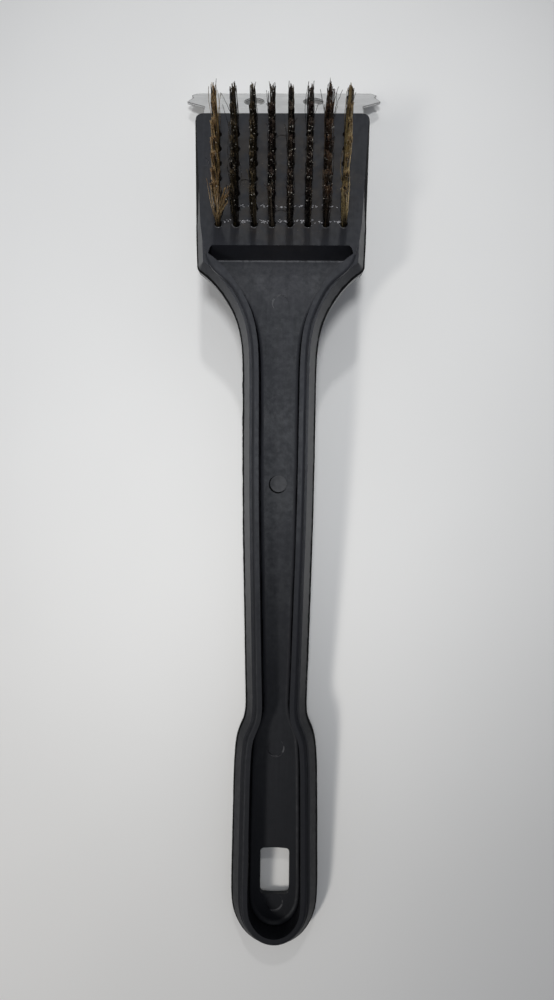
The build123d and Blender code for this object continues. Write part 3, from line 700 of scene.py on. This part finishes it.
def flash_mesh(name, rng):
    """The thin ragged fin a mould leaves along its parting line, round the handle's outline."""
    bm = bmesh.new()
    bm.from_mesh(nodes["brush_body"].data)
    bmesh.ops.remove_doubles(bm, verts=bm.verts, dist=2e-6)
    level = rim_level - PARTING_DEPTH
    cut = bmesh.ops.bisect_plane(bm, geom=bm.verts[:] + bm.edges[:] + bm.faces[:], dist=1e-7, plane_co=Vector(up_h * level), plane_no=Vector(up_h))
    edges = [e for e in cut["geom_cut"] if isinstance(e, bmesh.types.BMEdge)]
    near = {}
    for e in edges:
        for v in e.verts:
            near.setdefault(v, []).append(e.other_vert(v))
    loops, seen = [], set()
    for v in near:
        if v in seen:
            continue
        loop, last, at = [v], None, v
        seen.add(v)
        while True:
            ahead = [w for w in near[at] if w not in seen]
            if not ahead:
                break
            last, at = at, ahead[0]
            seen.add(at)
            loop.append(at)
        loops.append(np.array([tuple(w.co) for w in loop]))
    bm.free()
    loop = max(loops, key=lambda g: np.ptp(g[:, 1]) + np.ptp(g[:, 0]))
    closed = np.vstack([loop, loop[:1]])
    step = np.linalg.norm(np.diff(closed, axis=0), axis=1)
    keep = np.concatenate([[True], step > 1e-6])
    closed = closed[keep]
    run = np.concatenate([[0], np.cumsum(np.linalg.norm(np.diff(closed, axis=0), axis=1))])
    n = int(run[-1] / (0.55 * MM))
    at = np.linspace(0, run[-1], n, endpoint=False)
    p = np.stack([np.interp(at, run, closed[:, k]) for k in range(3)], 1)
    t = np.roll(p, -1, 0) - np.roll(p, 1, 0)
    t /= np.linalg.norm(t, axis=1)[:, None]
    out = np.cross(t, up_h)
    centre = p.mean(0)
    if ((p - centre) * out).sum() < 0:
        out = -out
    rough = rng.random(n)
    soft = np.convolve(np.tile(rng.random(n), 3), np.ones(9) / 9, "same")[n:2 * n]
    slow = np.convolve(np.tile(rng.random(n), 3), np.ones(61) / 61, "same")[n:2 * n]
    width = 0.05 + 0.16 * np.clip((slow - 0.44) / 0.12, 0, 1) * soft * 1.6 + 0.05 * rough
    left = (p[:, 0] < 0) & (p[:, 1] > -0.035) & (p[:, 1] < 0.045)
    width = np.where(left, width + 0.26 * np.clip(soft * 2 - 0.85, 0, 1), width)
    width = width * np.clip((p[:, 1] + 0.1992) / 0.004, 0.0, 1.0) * MM
    width = np.maximum(width, 0.004 * MM)
    thick = 0.13 * MM
    a = p - out * 0.06 * MM + up_h * thick
    b = p + out * width[:, None] + up_h * (rng.normal(0, 0.03, n) * MM)[:, None]
    c = p - out * 0.06 * MM - up_h * thick
    verts = np.stack([a, b, c], 1).reshape(-1, 3)
    faces = []
    # no fin across the bristle face, where the outline runs straight over the head
    bare = [abs(t[i, 0]) > 0.98 and p[i, 1] > 0.09 for i in range(n)]
    for i in range(n):
        j = (i + 1) % n
        if bare[i]:
            continue
        for k in range(3):
            m = (k + 1) % 3
            faces.append((3 * i + k, 3 * j + k, 3 * j + m, 3 * i + m))
        # close the fin where it stops
        if bare[i - 1]:
            faces.append((3 * i, 3 * i + 1, 3 * i + 2))
        if bare[j]:
            faces.append((3 * j, 3 * j + 2, 3 * j + 1))
    me = bpy.data.meshes.new(name)
    me.from_pydata(verts.tolist(), [], faces)
    bm = bmesh.new()
    bm.from_mesh(me)
    bmesh.ops.delete(bm, geom=[v for v in bm.verts if not v.link_faces], context="VERTS")
    bm.to_mesh(me)
    bm.free()
    return tidy(me)


fin = link(bpy.data.objects.new("parting_flash", flash_mesh("parting_flash", np.random.default_rng(97))))
# the fin is the mould's flash, coloured darker than the body as painted shade along the outline
dress(fin, black_plastic("flash_plastic_painted_dark", dark=(0.004, 0.004, 0.005), light=(0.009, 0.009, 0.011), rough=(0.60, 0.75)))
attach(fin, "root")


# ------------------------------------------------------------------ stage

def studio_floor():
    me = bpy.data.meshes.new("floor")
    s, z = 3.0, cad_box[0].z - 0.0002
    me.from_pydata([(-s, -s, z), (s, -s, z), (s, s, z), (-s, s, z)], [], [(0, 1, 2, 3)])
    ob = link(bpy.data.objects.new("floor", me))
    t = Tree("pale_floor")
    soft = t.noise(5.0, 3.0, 0.5)
    grain = t.noise(900.0, 2.0, 0.5)
    t.set("Base Color", t.mix(t.ramp(soft, 0.3, 0.7), (0.735, 0.735, 0.732), (0.765, 0.765, 0.762)))
    t.set("Roughness", 0.55)
    t.set("Specular IOR Level", 0.25)
    t.set("Normal", t.bump(grain, 0.00002, 0.25))
    dress(ob, t.mat)
    return ob


def area(name, where, aim, size, power, colour=(1, 1, 1), size_y=None):
    d = bpy.data.lights.new(name, "AREA")
    d.shape = "RECTANGLE" if size_y else "DISK"
    d.size = size
    if size_y:
        d.size_y = size_y
    d.energy = power
    d.color = colour
    ob = link(bpy.data.objects.new(name, d))
    ob.location = where
    ob.rotation_mode = "QUATERNION"
    ob.rotation_quaternion = (Vector(aim) - Vector(where)).to_track_quat("-Z", "Y")
    return ob


studio_floor()
middle = (cad_box[0] + cad_box[1]) / 2

def spot(name, where, aim, radius, cone, power, colour=(1, 1, 1)):
    """A lamp whose light fades smoothly to nothing at the edge of its cone (half angle in degrees)."""
    d = bpy.data.lights.new(name, "SPOT")
    d.shadow_soft_size = radius
    d.spot_size = math.radians(2 * cone)
    d.spot_blend = 1.0
    d.energy = power
    d.color = colour
    ob = link(bpy.data.objects.new(name, d))
    ob.location = where
    ob.rotation_mode = "QUATERNION"
    ob.rotation_quaternion = (Vector(aim) - Vector(where)).to_track_quat("-Z", "Y")
    return ob


def away(point, azimuth, elevation, distance):
    """Where a lamp stands, seen from a point: azimuth from +X towards +Y, in degrees."""
    a, e = math.radians(azimuth), math.radians(elevation)
    return Vector(point) + Vector((math.cos(a) * math.cos(e), math.sin(a) * math.cos(e), math.sin(e))) * distance


# overhead and a small key light the head, two warmer lamps from the left light the grip
head_end = (middle.x, cad_box[1].y * 0.50, 0.02)
neck = (-0.024, 0.135, 0.0)
grip_side = (-0.084, -0.148, 0.0)
spot("overhead", (0.0, -0.03, 1.0), neck, 0.08, 19.0, 16.3, (0.985, 0.995, 1.0))
spot("key", away(head_end, 88, 56.5, 1.15), head_end, 0.043, 16.0, 10.0, (1.0, 1.0, 0.985))
area("fill", away((0, -0.05, 0), 218, 54, 1.3), (0, -0.05, 0), 0.16, 3.3, (1.0, 0.965, 0.91))
spot("grip_fill", away(grip_side, 218, 54, 1.3), grip_side, 0.08, 9.6, 17.0, (1.0, 0.965, 0.91))

world = bpy.data.worlds.new("studio")
scene.world = world
world.use_nodes = True
wt = world.node_tree
wt.nodes.clear()
wo = wt.nodes.new("ShaderNodeOutputWorld")
bg = wt.nodes.new("ShaderNodeBackground")
wt.links.new(bg.outputs[0], wo.inputs[0])
bg.inputs["Color"].default_value = (0.93, 0.965, 1.03, 1)
bg.inputs["Strength"].default_value = 0.280

# camera: high over the grip side of the middle, looking almost straight down
cam = link(bpy.data.objects.new("camera", bpy.data.cameras.new("camera")))
cam.data.sensor_fit = "AUTO"
cam.data.sensor_width = 36.0
cam.data.lens = 27.07
cam.data.clip_start, cam.data.clip_end = 0.01, 20
yaw, tilt, roll = math.radians(-6.958), math.radians(8.2125), math.radians(-6.3144)
ahead = Vector((math.sin(yaw) * math.sin(tilt), math.cos(yaw) * math.sin(tilt), -math.cos(tilt)))
up0 = Vector((math.sin(yaw) * math.cos(tilt), math.cos(yaw) * math.cos(tilt), math.sin(tilt)))
right0 = ahead.cross(up0).normalized()
up0 = right0.cross(ahead)
right = right0 * math.cos(roll) + up0 * math.sin(roll)
up = up0 * math.cos(roll) - right0 * math.sin(roll)
where = Vector((0.005101, -0.058559, 0.350227))
cam.matrix_world = Matrix((
    (right.x, up.x, -ahead.x, where.x),
    (right.y, up.y, -ahead.y, where.y),
    (right.z, up.z, -ahead.z, where.z),
    (0, 0, 0, 1)))
scene.camera = cam
scene.view_settings.view_transform = "Standard"
scene.view_settings.look = "None"
